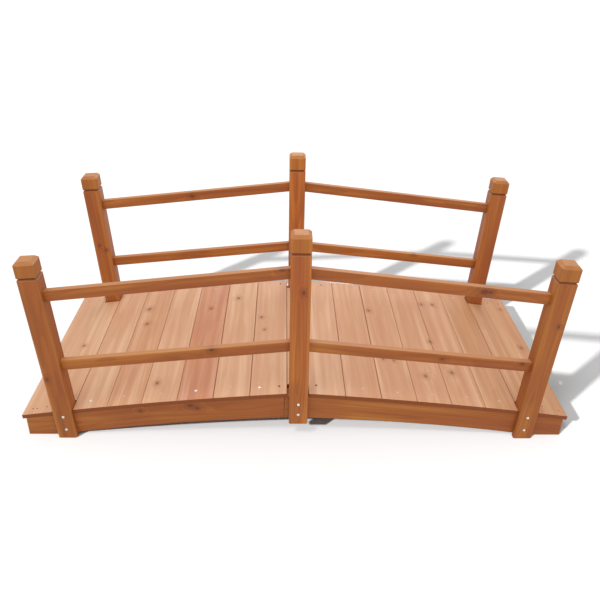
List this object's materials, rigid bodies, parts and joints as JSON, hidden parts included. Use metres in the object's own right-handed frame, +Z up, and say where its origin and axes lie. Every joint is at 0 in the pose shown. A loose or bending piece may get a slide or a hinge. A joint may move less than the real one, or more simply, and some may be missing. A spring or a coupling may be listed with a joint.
{
  "type": "arched wooden garden footbridge",
  "caption": "Small arched garden bridge of stained softwood: cross boards on two arched side beams, with leaning end posts and twin rails along both sides.",
  "frame": {"origin": "on the floor, under the middle of the bridge", "axes": "+X runs along the walk to the right-hand end, +Y across it from the front side to the back, +Z up"},
  "size_m": [1.3996, 0.63, 0.569],
  "materials": {
    "frame_wood": "honey-brown translucent stain on planed softwood, satin",
    "deck_board_wood": "planed softwood boards under a thin pale stain, knots and grain showing, satin",
    "screw_steel": "zinc-plated cross-recess screw heads"
  },
  "bodies": {
    "root": {"beam_back_left": "frame_wood", "beam_back_right": "frame_wood", "beam_front_left": "frame_wood", "beam_front_right": "frame_wood", "beam_splice_back": "frame_wood", "beam_splice_front": "frame_wood", "deck_board_01": "deck_board_wood", "deck_board_02": "deck_board_wood", "deck_board_03": "deck_board_wood", "deck_board_04": "deck_board_wood", "deck_board_05": "deck_board_wood", "deck_board_06": "deck_board_wood", "deck_board_07": "deck_board_wood", "deck_board_08": "deck_board_wood", "deck_board_09": "deck_board_wood", "deck_board_10": "deck_board_wood", "deck_board_11": "deck_board_wood", "deck_board_12": "deck_board_wood", "deck_board_13": "deck_board_wood", "deck_board_14": "deck_board_wood", "deck_board_15": "deck_board_wood", "post_back_left": "frame_wood", "post_back_middle": "frame_wood", "post_back_right": "frame_wood", "post_front_left": "frame_wood", "post_front_middle": "frame_wood", "post_front_right": "frame_wood", "rail_low_back_left": "frame_wood", "rail_low_back_right": "frame_wood", "rail_low_front_left": "frame_wood", "rail_low_front_right": "frame_wood", "rail_top_back_left": "frame_wood", "rail_top_back_right": "frame_wood", "rail_top_front_left": "frame_wood", "rail_top_front_right": "frame_wood"}
  },
  "joints": []
}
